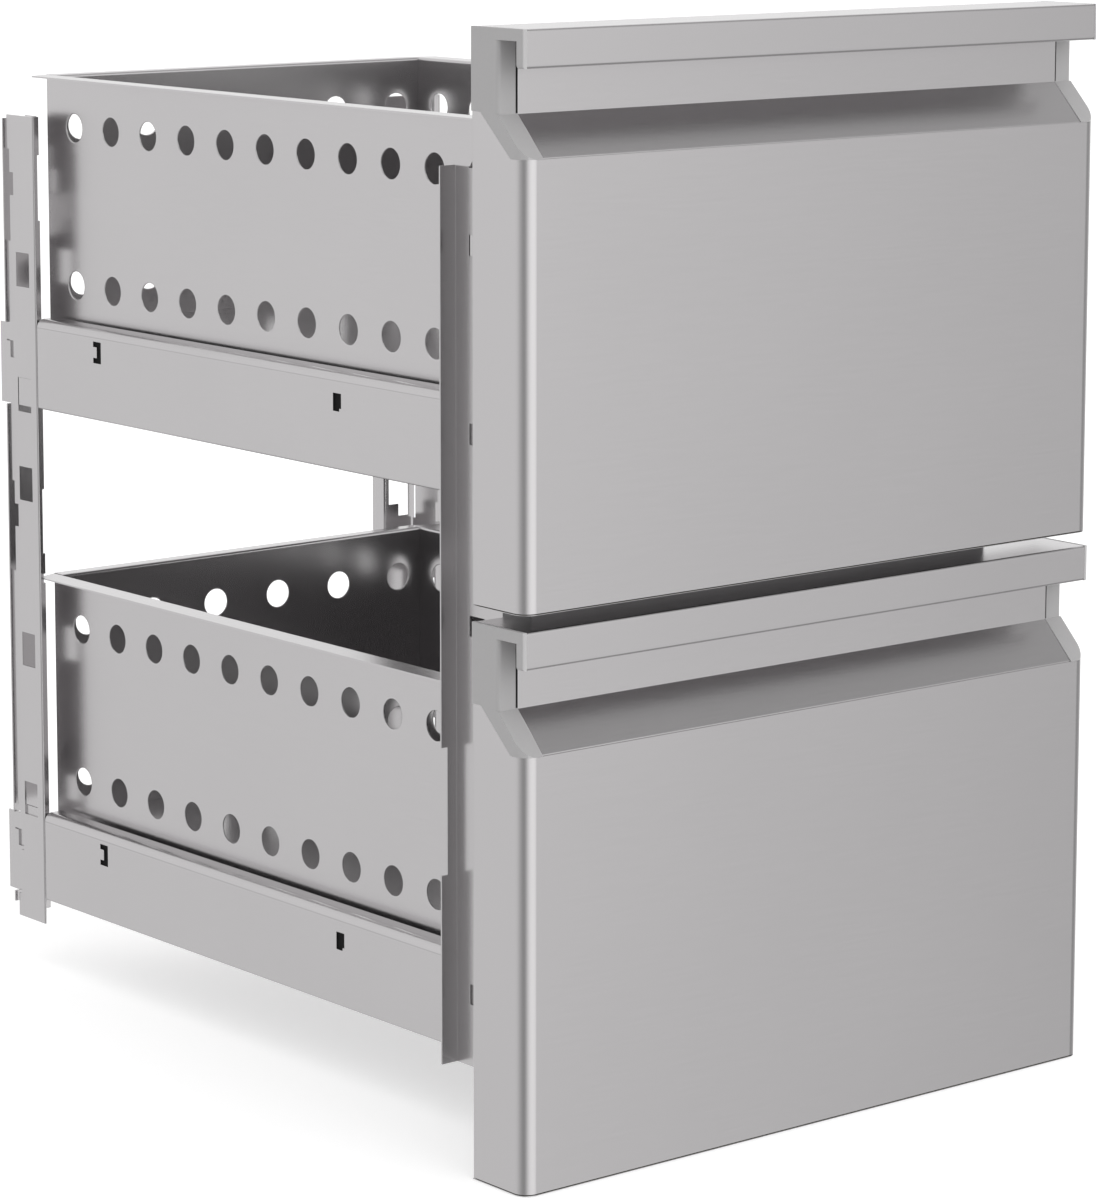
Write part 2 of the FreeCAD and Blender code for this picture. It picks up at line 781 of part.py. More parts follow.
def channel_section(web_x, depth, half_height, opening):
    """A slide member: a C section whose web starts at web_x and whose flanges
    run towards opening, +1 for right."""
    tip = web_x + opening * depth
    z0 = slide_middle_z - half_height
    z1 = slide_middle_z + half_height
    points = [(tip, z1), (web_x, z1), (web_x, z0), (tip, z0)]
    return folded_face(points, slide_sheet, [slide_bend, slide_bend], opening)


def race_heights():
    """Half heights of the members and of the two ball rows."""
    outer_half = outer_member_height / 2
    race = ball_diameter + 2 * race_clearance
    middle_half = outer_half - slide_sheet - race
    inner_half = middle_half - slide_sheet - race
    outer_balls = middle_half + race / 2
    inner_balls = inner_half + race / 2
    return outer_half, middle_half, inner_half, outer_balls, inner_balls


def slide_outer():
    half = race_heights()[0]
    section = channel_section(-slide_face, outer_member_depth, half, 1)
    return along_y(section, slide_front, slide_rear)


def slide_middle():
    half = race_heights()[1]
    web = -slide_face + slide_sheet + member_gap
    section = channel_section(web, middle_member_depth, half, 1)
    return along_y(section, slide_front, slide_rear)


def slide_inner():
    half = race_heights()[2]
    section = channel_section(-slide_inner_face, inner_member_depth, half, -1)
    return along_y(section, slide_front, slide_rear)


def ball_row_places():
    """Ball positions along Y, evenly spread over the cage."""
    middle = slide_rear - slide_length / 2
    step = cage_length / cage_balls
    return [middle + (i - (cage_balls - 1) / 2) * step for i in range(cage_balls)]


def ball_cage(web_x, ball_x, ball_z):
    """A thin C that spaces two rows of balls, and the balls in its holes."""
    half = ball_z + cage_sheet / 2
    tip = web_x + cage_flange
    z0 = slide_middle_z - half
    z1 = slide_middle_z + half
    points = [(tip, z1), (web_x, z1), (web_x, z0), (tip, z0)]
    section = folded_face(points, cage_sheet, [cage_sheet, cage_sheet], 1)
    middle = slide_rear - slide_length / 2
    cage = along_y(section, middle - cage_length / 2, middle + cage_length / 2)
    holes = []
    balls = []
    for y in ball_row_places():
        radius = ball_diameter / 2 + ball_hole_clearance
        start = V(ball_x, y, slide_middle_z - 2 * half)
        holes.append(rod(radius, 4 * half, start, V(0, 0, 1)))
        for s in (-1, 1):
            place = V(ball_x, y, slide_middle_z + s * ball_z)
            balls.append(Part.makeSphere(ball_diameter / 2, place))
    return [cage.cut(Part.makeCompound(holes))] + balls


def outer_cage():
    web = -slide_face + slide_sheet + cage_web_gap
    return ball_cage(web, -slide_face + ball_offset, race_heights()[3])


def inner_cage():
    web = -slide_face + 2 * slide_sheet + member_gap + cage_web_gap
    return ball_cage(web, -slide_face + inner_ball_offset, race_heights()[4])


def carrier():
    """The bracket between the left slide and the box: top plate, leg, front tab."""
    leg_x = -slide_inner_face
    top = box_bottom
    plate = block(leg_x, leg_x + carrier_top_reach, front_back_y, slide_rear, top - carrier_sheet, top)
    leg = block(leg_x, leg_x + carrier_sheet, front_back_y, slide_rear, top - carrier_leg, top)
    tab = block(leg_x, leg_x + carrier_sheet + carrier_front_tab, front_back_y,
                front_back_y + carrier_sheet, top - carrier_leg, top - carrier_sheet)
    tab = tab.cut(screw_holes(screw_diameter + screw_clearance))
    holes = [rod((rivet_diameter + screw_clearance) / 2, 4 * carrier_sheet, V(leg_x - cut_over, y, z),
                 V(1, 0, 0)) for y, z in rivet_places()]
    return leg.cut(Part.makeCompound(holes)).fuse([plate, tab]).removeSplitter()


def rivet_places():
    usable = slide_length - 2 * rivet_inset
    step = usable / (rivet_count - 1)
    return [(slide_front + rivet_inset + i * step, slide_middle_z) for i in range(rivet_count)]


def slide_rivets():
    """Rivets whose shanks sit in the bracket, heads under the box."""
    face = -slide_inner_face
    rivets = []
    for y, z in rivet_places():
        shank = rod(rivet_diameter / 2, carrier_sheet, V(face, y, z), V(1, 0, 0))
        head = rod(rivet_head_diameter / 2, rivet_head_height, V(face + carrier_sheet, y, z),
                   V(1, 0, 0))
        rivets.append(head.fuse(shank).removeSplitter())
    return rivets


def save(name, shapes):
    pieces = shapes if isinstance(shapes, list) else [shapes]
    solids = [s for piece in pieces for s in piece.Solids]
    body = solids[0] if len(solids) == 1 else Part.makeCompound(solids)
    if not body.isValid():
        raise ValueError(name + " is not a valid shape")
    body.exportStep("parts/" + name + ".step")


def mirrored(shapes, side):
    pieces = shapes if isinstance(shapes, list) else [shapes]
    return [put_right(p, side) for p in pieces]


def at_level(shapes, level):
    pieces = shapes if isinstance(shapes, list) else [shapes]
    return [lifted(p, level) for p in pieces]


def make_frame():
    for side, sign in sides.items():
        save("rear_upright_" + side, mirrored(rear_upright(), sign))
        save("wall_standard_" + side, mirrored(wall_standard(), sign))
        save("front_upright_" + side, mirrored(front_upright(), sign))
    save("front_crossbar", front_crossbar())


def make_slides(name, level, side, sign):
    tag = "_" + name + "_" + side
    pieces = {"rail": rail(), "hook_plate": hook_plate(level),
              "slide_outer": slide_outer(), "slide_middle": slide_middle(),
              "slide_inner": slide_inner(), "slide_bracket": carrier()}
    for piece, shape in pieces.items():
        save(piece + tag, at_level(mirrored(shape, sign), level))


def make_drawer(name, level):
    tag = "_" + name
    pieces = {"front_skin": front_skin(), "grip_panel": grip_panel(), "grip_lip": grip_lip(),
              "front_back_plate": back_plate(), "front_insulation": insulation_core(),
              "door_gasket": door_gasket(), "drawer_box": box_shell(),
              "box_rear_wall": box_rear_wall()}
    for piece, shape in pieces.items():
        save(piece + tag, at_level(shape, level))
    rivets = mirrored(slide_rivets(), -1) + mirrored(slide_rivets(), 1)
    save("drawer_fixings" + tag, at_level(front_screws() + rivets, level))
    cages = {"outer_ball_cages": outer_cage(), "inner_ball_cages": inner_cage()}
    for piece, shapes in cages.items():
        both = mirrored(shapes, -1) + mirrored(shapes, 1)
        save(piece + tag, at_level(both, level))
    for side, sign in sides.items():
        save("grip_cap" + tag + "_" + side, at_level(mirrored(end_cap(), sign), level))
        make_slides(name, level, side, sign)


make_frame()
for drawer, height in drawer_levels.items():
    make_drawer(drawer, height)
print("travel", slide_length, "height", drawer_pitch + front_height)
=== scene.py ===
import json
import math

import bmesh
import bpy
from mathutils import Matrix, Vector

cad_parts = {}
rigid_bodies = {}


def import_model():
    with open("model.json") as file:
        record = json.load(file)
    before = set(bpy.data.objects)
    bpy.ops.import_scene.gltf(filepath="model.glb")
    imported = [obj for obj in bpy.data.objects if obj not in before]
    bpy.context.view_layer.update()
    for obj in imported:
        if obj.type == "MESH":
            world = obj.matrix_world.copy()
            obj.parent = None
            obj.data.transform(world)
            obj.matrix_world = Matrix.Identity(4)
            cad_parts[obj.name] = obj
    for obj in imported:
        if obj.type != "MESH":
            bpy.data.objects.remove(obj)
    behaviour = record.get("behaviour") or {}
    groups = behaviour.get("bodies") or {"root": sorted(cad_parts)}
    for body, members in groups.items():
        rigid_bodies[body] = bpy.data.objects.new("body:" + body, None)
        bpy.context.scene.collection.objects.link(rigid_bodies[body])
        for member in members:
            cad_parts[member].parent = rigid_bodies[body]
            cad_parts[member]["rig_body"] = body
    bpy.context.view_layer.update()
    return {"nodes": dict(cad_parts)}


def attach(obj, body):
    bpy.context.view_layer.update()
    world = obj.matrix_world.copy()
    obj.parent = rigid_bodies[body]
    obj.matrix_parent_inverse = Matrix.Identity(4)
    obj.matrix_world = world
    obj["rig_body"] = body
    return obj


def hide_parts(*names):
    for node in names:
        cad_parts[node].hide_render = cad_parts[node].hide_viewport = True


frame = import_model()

mm = 0.001
drawerLevels = {"lower": 0.0, "upper": 0.328}  # height of each front's bottom edge
sideSigns = {"left": -1, "right": 1}
print("frame loaded:", len(frame["nodes"]), "nodes")


# Shader groups: effects that several finishes share

def newGroup(name, kind, inputs, outputs):
    group = bpy.data.node_groups.new(name, kind)
    for label, socket, value in inputs:
        made = group.interface.new_socket(name=label, in_out="INPUT", socket_type=socket)
        if value is not None:
            made.default_value = value
    for label, socket in outputs:
        group.interface.new_socket(name=label, in_out="OUTPUT", socket_type=socket)
    return group, group.nodes.new("NodeGroupInput"), group.nodes.new("NodeGroupOutput")


def addNode(tree, kind, links=None, **settings):
    node = tree.nodes.new(kind)
    for key, value in settings.items():
        setattr(node, key, value)
    for key, value in (links or {}).items():
        socket = node.inputs[key]
        if isinstance(value, bpy.types.NodeSocket):
            tree.links.new(value, socket)
        else:
            socket.default_value = value
    return node


def mathNode(tree, operation, a, b=None, c=None, clamp=False):
    links = {i: value for i, value in enumerate((a, b, c)) if value is not None}
    return addNode(tree, "ShaderNodeMath", links, operation=operation, use_clamp=clamp).outputs[0]


def placeGroup(tree, group, links):
    return addNode(tree, "ShaderNodeGroup", links, node_tree=group)


grainSizes = {"detail": 3.0, "breakUp": 0.65, "cloudScale": 9.0, "cloudDetail": 2.0,
              "cloudShare": 0.35}


def buildGrainGroup():
    # long fine scratches along one axis, broken up by a slower cloud
    s = grainSizes
    group, given, out = newGroup(
        "brushedGrain", "ShaderNodeTree",
        [("Vector", "NodeSocketVector", None), ("Stretch", "NodeSocketVector", (1, 1, 1)),
         ("Scale", "NodeSocketFloat", 900.0), ("Tone Spread", "NodeSocketFloat", 0.06),
         ("Roughness", "NodeSocketFloat", 0.3), ("Roughness Spread", "NodeSocketFloat", 0.08)],
        [("Tone", "NodeSocketFloat"), ("Roughness", "NodeSocketFloat"),
         ("Height", "NodeSocketFloat")])
    stretched = addNode(group, "ShaderNodeVectorMath", {
        0: given.outputs["Vector"], 1: given.outputs["Stretch"]}, operation="MULTIPLY")
    scratch = addNode(group, "ShaderNodeTexNoise", {
        "Vector": stretched.outputs[0], "Scale": given.outputs["Scale"],
        "Detail": s["detail"], "Roughness": s["breakUp"]})
    cloud = addNode(group, "ShaderNodeTexNoise", {
        "Vector": given.outputs["Vector"], "Scale": s["cloudScale"], "Detail": s["cloudDetail"]})
    centred = mathNode(group, "SUBTRACT", scratch.outputs["Fac"], 0.5)
    slow = mathNode(group, "SUBTRACT", cloud.outputs["Fac"], 0.5)
    slowShare = mathNode(group, "MULTIPLY", slow, s["cloudShare"])
    both = mathNode(group, "ADD", centred, slowShare)
    change = mathNode(group, "MULTIPLY", both, given.outputs["Tone Spread"])
    tone = mathNode(group, "ADD", change, 1.0)
    spread = mathNode(group, "MULTIPLY", centred, given.outputs["Roughness Spread"])
    rough = mathNode(group, "ADD", given.outputs["Roughness"], spread, clamp=True)
    group.links.new(tone, out.inputs["Tone"])
    group.links.new(rough, out.inputs["Roughness"])
    group.links.new(scratch.outputs["Fac"], out.inputs["Height"])
    return group


mottleDetail = 4.0


def buildMottleGroup():
    # the faint patchiness of rolled sheet and of moulded plastic
    group, given, out = newGroup(
        "softMottle", "ShaderNodeTree",
        [("Vector", "NodeSocketVector", None), ("Scale", "NodeSocketFloat", 40.0),
         ("Amount", "NodeSocketFloat", 0.05),
         ("Colour", "NodeSocketColor", (0.5, 0.5, 0.5, 1)), ("Tone", "NodeSocketFloat", 1.0)],
        [("Colour", "NodeSocketColor"), ("Height", "NodeSocketFloat")])
    patch = addNode(group, "ShaderNodeTexNoise", {
        "Vector": given.outputs["Vector"], "Scale": given.outputs["Scale"], "Detail": mottleDetail})
    centred = mathNode(group, "SUBTRACT", patch.outputs["Fac"], 0.5)
    change = mathNode(group, "MULTIPLY", centred, given.outputs["Amount"])
    shade = mathNode(group, "ADD", change, 1.0)
    level = mathNode(group, "MULTIPLY", shade, given.outputs["Tone"])
    tinted = addNode(group, "ShaderNodeVectorMath",
                     {0: given.outputs["Colour"], "Scale": level}, operation="SCALE")
    group.links.new(tinted.outputs[0], out.inputs["Colour"])
    group.links.new(patch.outputs["Fac"], out.inputs["Height"])
    return group


edgeHighlightSizes = {"samples": 4, "sharpness": 4.0}


def buildEdgeHighlightGroup():
    # paler folded and cut edges: a painted edge highlight
    group, given, out = newGroup(
        "paintedEdgeHighlight", "ShaderNodeTree",
        [("Colour", "NodeSocketColor", (0.5, 0.5, 0.5, 1)),
         ("Highlight Colour", "NodeSocketColor", (0.8, 0.8, 0.8, 1)),
         ("Width", "NodeSocketFloat", 0.0008), ("Amount", "NodeSocketFloat", 0.5)],
        [("Colour", "NodeSocketColor")])
    bevel = addNode(group, "ShaderNodeBevel", {"Radius": given.outputs["Width"]},
                    samples=edgeHighlightSizes["samples"])
    geometry = addNode(group, "ShaderNodeNewGeometry")
    dot = addNode(group, "ShaderNodeVectorMath", {
        0: bevel.outputs[0], 1: geometry.outputs["Normal"]}, operation="DOT_PRODUCT")
    turned = mathNode(group, "SUBTRACT", 1.0, dot.outputs["Value"], clamp=True)
    strong = mathNode(group, "MULTIPLY", turned, edgeHighlightSizes["sharpness"], clamp=True)
    mask = mathNode(group, "MULTIPLY", strong, given.outputs["Amount"])
    mixed = addNode(group, "ShaderNodeMix", {
        "Factor": mask, 6: given.outputs["Colour"], 7: given.outputs["Highlight Colour"]},
        data_type="RGBA")
    group.links.new(mixed.outputs[2], out.inputs["Colour"])
    return group


def buildCreaseShadeGroup():
    # a fine painted shade line where a bend runs out into the flat sheet
    group, given, out = newGroup(
        "paintedCreaseShade", "ShaderNodeTree",
        [("Colour", "NodeSocketColor", (0.5, 0.5, 0.5, 1)), ("Coordinate", "NodeSocketFloat", 0.0),
         ("Place", "NodeSocketFloat", 0.0), ("Width", "NodeSocketFloat", 0.0004),
         ("Amount", "NodeSocketFloat", 0.2)],
        [("Colour", "NodeSocketColor")])
    offset = mathNode(group, "SUBTRACT", given.outputs["Coordinate"], given.outputs["Place"])
    away = mathNode(group, "ABSOLUTE", offset)
    share = mathNode(group, "DIVIDE", away, given.outputs["Width"])
    near = mathNode(group, "SUBTRACT", 1.0, share, clamp=True)
    loss = mathNode(group, "MULTIPLY", near, given.outputs["Amount"])
    shade = mathNode(group, "SUBTRACT", 1.0, loss)
    darker = addNode(group, "ShaderNodeVectorMath",
                     {0: given.outputs["Colour"], "Scale": shade}, operation="SCALE")
    group.links.new(darker.outputs[0], out.inputs["Colour"])
    return group


studioSizes = {  # the walls' levels stand beside their azimuths in degrees
    "top": 1.6, "overhead": 1.05, "overheadFrom": 0.80, "overheadTo": 0.98, "floorFall": 0.35,
    "walls": [(180, 0.72), (184, 0.67), (199, 0.52), (213, 0.44), (227, 0.64), (234, 0.84),
              (241, 1.03), (248, 1.19), (262, 1.38), (277, 1.42), (294, 1.33), (301, 1.20),
              (309, 0.97), (316, 0.79), (335, 0.42), (348, 0.50), (0, 0.64), (20, 0.80),
              (51, 1.06), (104, 0.95), (129, 0.98), (152, 0.96), (169, 0.85), (179.9, 0.72)],
}


def buildStudioGroup():
    # brightness of the studio's walls round the compass, and overhead
    s = studioSizes
    group, given, out = newGroup("studioLevel", "ShaderNodeTree",
                                 [("Vector", "NodeSocketVector", None)],
                                 [("Level", "NodeSocketFloat")])
    unit = addNode(group, "ShaderNodeVectorMath", {0: given.outputs["Vector"]},
                   operation="NORMALIZE")
    parts = addNode(group, "ShaderNodeSeparateXYZ", {0: unit.outputs[0]})
    turn = mathNode(group, "ARCTAN2", parts.outputs["Y"], parts.outputs["X"])
    share = addNode(group, "ShaderNodeMapRange", {
        "Value": turn, "From Min": -math.pi, "From Max": math.pi, "To Min": 0.0, "To Max": 1.0})
    walls = addNode(group, "ShaderNodeFloatCurve", {"Value": share.outputs["Result"]})
    curve = walls.mapping.curves[0]
    spots = sorted((((azimuth + 180) % 360) / 360, level / s["top"])
                   for azimuth, level in s["walls"])
    curve.points[0].location = spots[0]
    curve.points[1].location = spots[-1]
    for spot in spots[1:-1]:
        curve.points.new(*spot)
    walls.mapping.update()
    below = mathNode(group, "MINIMUM", parts.outputs["Z"], 0.0)
    fall = mathNode(group, "MULTIPLY", below, s["floorFall"])
    scaled = mathNode(group, "MULTIPLY", mathNode(group, "ADD", fall, 1.0), s["top"])
    level = mathNode(group, "MULTIPLY", walls.outputs[0], scaled)
    steep = addNode(group, "ShaderNodeMapRange", {
        "Value": mathNode(group, "ABSOLUTE", parts.outputs["Z"]), "From Min": s["overheadFrom"],
        "From Max": s["overheadTo"], "To Min": 0.0, "To Max": 1.0}, interpolation_type="SMOOTHSTEP")
    both = addNode(group, "ShaderNodeMix", {
        0: steep.outputs["Result"], 2: level, 3: s["overhead"]})
    group.links.new(both.outputs[0], out.inputs["Level"])
    return group


grainGroup = buildGrainGroup()
mottleGroup = buildMottleGroup()
edgeHighlightGroup = buildEdgeHighlightGroup()
creaseShadeGroup = buildCreaseShadeGroup()
studioGroup = buildStudioGroup()


# Finishes: one dictionary for each, all read in object space

# the edge colour and its amount give a painted highlight on folded and cut edges
sheetSteel = {
    "colour": (0.554, 0.541, 0.547), "stretch": (1.0, 1.0, 1.0), "scale": 1200.0,
    "toneSpread": 0.06, "roughness": 0.24, "roughSpread": 0.06, "bump": 0.012, "patches": 9.0,
    "patchAmount": 0.03, "edge": (0.76, 0.76, 0.76), "highlightAmount": 0.3,
}
steelFinishes = {  # what differs from plain sheet; the grain runs where stretch is smallest
    "brushedFrontSteel": {
        **sheetSteel, "colour": (0.556, 0.543, 0.549), "stretch": (0.03, 1.0, 1.0), "scale": 1500.0,
        "toneSpread": 0.07, "roughSpread": 0.08, "patches": 6.0, "patchAmount": 0.02,
        "edge": (0.78, 0.78, 0.78), "highlightAmount": 0.2},
    "boxSheetSteel": {
        **sheetSteel, "colour": (0.556, 0.543, 0.549), "stretch": (1.0, 0.04, 1.0), "scale": 1300.0,
        "patches": 7.0, "edge": (0.80, 0.80, 0.80), "highlightAmount": 0.4},
    "frameSheetSteel": {**sheetSteel, "stretch": (1.0, 1.0, 0.06)},
    "railSheetSteel": {
        # the rail's crease values place painted shade lines at its bends
        **sheetSteel, "stretch": (1.0, 0.06, 1.0),
        "creaseShades": {"height": 0.0992, "across": 0.1608, "width": 0.0004, "amount": 0.2}},
    # darkened steel for the crossbar's front: painted shade for the gap behind the fronts
    "barSteelPaintedShade": {
        **sheetSteel, "colour": (0.27, 0.265, 0.268), "stretch": (0.06, 1.0, 1.0),
        "roughness": 0.30, "edge": (0.40, 0.40, 0.40), "highlightAmount": 0.2},
    "slideSteel": {
        **sheetSteel, "colour": (0.50, 0.50, 0.51), "stretch": (1.0, 0.02, 1.0), "scale": 900.0,
        "toneSpread": 0.14, "roughness": 0.26, "roughSpread": 0.10, "bump": 0.02, "patches": 20.0,
        "patchAmount": 0.08, "edge": (0.72, 0.72, 0.72), "highlightAmount": 0.4},
    "screwSteel": {
        **sheetSteel, "colour": (0.56, 0.56, 0.56), "scale": 700.0, "toneSpread": 0.10,
        "roughness": 0.25, "roughSpread": 0.10, "bump": 0.01, "patches": 50.0, "patchAmount": 0.08,
        "edge": (0.80, 0.80, 0.80), "highlightAmount": 0.5},
    "ballSteel": {
        **sheetSteel, "colour": (0.66, 0.66, 0.67), "scale": 400.0, "toneSpread": 0.04,
        "roughness": 0.12, "roughSpread": 0.04, "bump": 0.0, "patches": 80.0, "patchAmount": 0.04,
        "edge": (0.80, 0.80, 0.80), "highlightAmount": 0.0},
}
softFinishes = {
    "capMoulding": {"colour": (0.45, 0.443, 0.446), "scale": 1400.0, "amount": 0.10,
                    "bump": 0.12, "roughness": 0.46, "specular": 0.45},
    # a lighter copy of the cap moulding for the lip ends' front faces: painted light
    "capMouldingPaintedLight": {"colour": (0.55, 0.543, 0.546), "scale": 1400.0, "amount": 0.10,
                       "bump": 0.12, "roughness": 0.46, "specular": 0.45},
    "gasketRubber": {"colour": (0.16, 0.16, 0.16), "scale": 500.0, "amount": 0.20,
                     "bump": 0.10, "roughness": 0.62, "specular": 0.35},
    # near black, standing in for the shade in slots, gaps and seams
    "paintedShadeBlack": {"colour": (0.012, 0.012, 0.012), "scale": 300.0, "amount": 0.20,
                    "bump": 0.05, "roughness": 0.75, "specular": 0.10},
    "barPolymer": {"colour": (0.14, 0.138, 0.139), "scale": 300.0, "amount": 0.20,
                   "bump": 0.05, "roughness": 0.55, "specular": 0.25},
    "coreFoam": {"colour": (0.72, 0.66, 0.48), "scale": 260.0, "amount": 0.25,
                 "bump": 0.35, "roughness": 0.90, "specular": 0.20},
}
bumpReach = {"steel": 0.0002, "soft": 0.0003}


def startMaterial(name):
    material = bpy.data.materials.new(name)
    material.use_nodes = True
    tree = material.node_tree
    place = addNode(tree, "ShaderNodeTexCoord").outputs["Object"]
    return material, tree, tree.nodes["Principled BSDF"], place


def makeSteel(name, finish):
    material, tree, shader, place = startMaterial(name)
    grain = placeGroup(tree, grainGroup, {
        "Vector": place, "Stretch": finish["stretch"], "Scale": finish["scale"],
        "Tone Spread": finish["toneSpread"], "Roughness": finish["roughness"],
        "Roughness Spread": finish["roughSpread"]})
    mottle = placeGroup(tree, mottleGroup, {
        "Vector": place, "Scale": finish["patches"], "Amount": finish["patchAmount"],
        "Colour": (*finish["colour"], 1), "Tone": grain.outputs["Tone"]})
    # painted highlight on folded and cut edges
    edge = placeGroup(tree, edgeHighlightGroup, {
        "Colour": mottle.outputs["Colour"], "Highlight Colour": (*finish["edge"], 1),
        "Amount": finish["highlightAmount"]})
    bump = addNode(tree, "ShaderNodeBump", {
        "Height": grain.outputs["Height"], "Strength": finish["bump"],
        "Distance": bumpReach["steel"]})
    colour = edge.outputs["Colour"]
    # painted shade lines along the rail's bends, across and in height
    if "creaseShades" in finish:
        creaseShades = finish["creaseShades"]
        parts = addNode(tree, "ShaderNodeSeparateXYZ", {0: place})
        across = mathNode(tree, "ABSOLUTE", parts.outputs["X"])
        height = mathNode(tree, "WRAP", parts.outputs["Z"], drawerLevels["upper"], 0.0)
        for coordinate, spot in ((across, creaseShades["across"]), (height, creaseShades["height"])):
            line = placeGroup(tree, creaseShadeGroup, {
                "Colour": colour, "Coordinate": coordinate, "Place": spot,
                "Width": creaseShades["width"], "Amount": creaseShades["amount"]})
            colour = line.outputs["Colour"]
    tree.links.new(colour, shader.inputs["Base Color"])
    tree.links.new(grain.outputs["Roughness"], shader.inputs["Roughness"])
    tree.links.new(bump.outputs["Normal"], shader.inputs["Normal"])
    shader.inputs["Metallic"].default_value = 1.0
    return material


def makeSoft(name, finish):
    material, tree, shader, place = startMaterial(name)
    mottle = placeGroup(tree, mottleGroup, {
        "Vector": place, "Scale": finish["scale"], "Amount": finish["amount"],
        "Colour": (*finish["colour"], 1), "Tone": 1.0})
    bump = addNode(tree, "ShaderNodeBump", {
        "Height": mottle.outputs["Height"], "Strength": finish["bump"],
        "Distance": bumpReach["soft"]})
    tree.links.new(mottle.outputs["Colour"], shader.inputs["Base Color"])
    tree.links.new(bump.outputs["Normal"], shader.inputs["Normal"])
    shader.inputs["Roughness"].default_value = finish["roughness"]
    shader.inputs["Specular IOR Level"].default_value = finish["specular"]
    return material


finishes = {name: makeSteel(name, finish) for name, finish in steelFinishes.items()}
finishes.update({name: makeSoft(name, finish) for name, finish in softFinishes.items()})
print("finishes:", len(finishes))


# Mesh helpers

meshSizes = {  # lengths in mm, angles in degrees
    "smoothBelow": 32.0, "bevelAbove": 34.0, "bevelSegments": 2, "flatWeight": 100,
    "mergeWithin": 0.002, "flatWithin": 0.6,
}


def addObject(name, data):
    made = bpy.data.objects.new(name, data)
    bpy.context.scene.collection.objects.link(made)
    return made


def objectFrom(bm, name, finish):
    limit = math.radians(meshSizes["smoothBelow"])
    for face in bm.faces:
        face.smooth = True
    for edge in bm.edges:
        edge.smooth = len(edge.link_faces) == 2 and edge.calc_face_angle(0.0) < limit
    mesh = bpy.data.meshes.new(name)
    bm.to_mesh(mesh)
    bm.free()
    mesh.materials.append(finishes[finish])
    return addObject(name, mesh)


def mergedCopy(nodeName):
    # the CAD node's loose triangles, joined
    bm = bmesh.new()
    bm.from_mesh(frame["nodes"][nodeName].data)
    bmesh.ops.remove_doubles(bm, verts=bm.verts, dist=meshSizes["mergeWithin"] * mm)
    return bm


def softenEdges(thing, width):
    s = meshSizes
    bevel = thing.modifiers.new("roundedEdges", "BEVEL")
    bevel.width = width * mm
    bevel.segments = s["bevelSegments"]
    bevel.limit_method = "ANGLE"
    bevel.angle_limit = math.radians(s["bevelAbove"])
    bevel.harden_normals = True
    bevel.miter_outer = "MITER_ARC"
    flat = thing.modifiers.new("flatFaces", "WEIGHTED_NORMAL")
    flat.keep_sharp = True
    flat.weight = s["flatWeight"]


# these keep their triangles, because one polygon can't hold slots
slottedNodes = ("rear_upright", "wall_standard", "front_upright", "hook_plate")
faceSizes = {"slideBackX": 165.1, "lipEndY": -307.4, "uprightEdgeY": 262.3, "railLow": 47.0,
             "railHigh": 102.0, "square": 0.9, "leaning": 0.5}


# the slides' back faces, seen through the rail slots, painted near black as shade
def isSlideBack(spot, normal):
    return abs(spot.x) > faceSizes["slideBackX"] and abs(normal.x) > faceSizes["square"]


# front faces of the cap at the lip's ends, which get the lighter painted-light copy of the moulding
def isLipEnd(spot, normal):
    return spot.y < faceSizes["lipEndY"] and normal.y < -faceSizes["leaning"]


# the crossbar's front faces, which get the darkened painted-shade steel
def isBarFront(spot, normal):
    return normal.y < -faceSizes["square"]


def isCutEdge(spot, normal):
    # the front edge of a rear upright where a rail passes it, painted near black as the shade in
    # the gap
    s = faceSizes
    atRail = s["railLow"] < spot.z % (drawerLevels["upper"] / mm) < s["railHigh"]
    return spot.y < s["uprightEdgeY"] and normal.y < -s["square"] and atRail


secondFinishes = {  # faces of a node that carry another finish: painted shade on the slide backs, crossbar front and rear upright cut edges, painted light on the cap's lip ends
    "slide_outer": ("paintedShadeBlack", isSlideBack), "grip_cap": ("capMouldingPaintedLight", isLipEnd),
    "front_crossbar": ("barSteelPaintedShade", isBarFront), "rear_upright": ("paintedShadeBlack", isCutEdge),
}


def dressNode(nodeName, finish, edgeWidth):
    # a merged copy of the CAD node with its cut edges eased
    bm = mergedCopy(nodeName)
    if not nodeName.startswith(slottedNodes):
        bmesh.ops.dissolve_limit(bm, angle_limit=math.radians(meshSizes["flatWithin"]),
                                 use_dissolve_boundaries=False, verts=bm.verts, edges=bm.edges,
                                 delimit={"NORMAL"})
    made = objectFrom(bm, nodeName + "_dressed", finish)
    for kind, (second, chosen) in secondFinishes.items():
        if nodeName.startswith(kind):
            made.data.materials.append(finishes[second])
            for face in made.data.polygons:
                if chosen(face.center / mm, face.normal):
                    face.material_index = 1
    softenEdges(made, edgeWidth)
    bodyName = frame["nodes"][nodeName]["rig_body"]
    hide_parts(nodeName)
    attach(made, bodyName)


# Geometry Nodes helpers

def newTree(name, inputs):
    return newGroup(name, "GeometryNodeTree",
                    [("Geometry", "NodeSocketGeometry", None)] + inputs,
                    [("Geometry", "NodeSocketGeometry")])


def placeCopies(tree, given, shape):
    # one copy of the shape on each point, turned as the tree's input says
    links = {"Points": given.outputs["Geometry"], "Instance": shape.outputs[0]}
    if "Turn" in given.outputs:
        links["Rotation"] = given.outputs["Turn"]
    return addNode(tree, "GeometryNodeInstanceOnPoints", links)


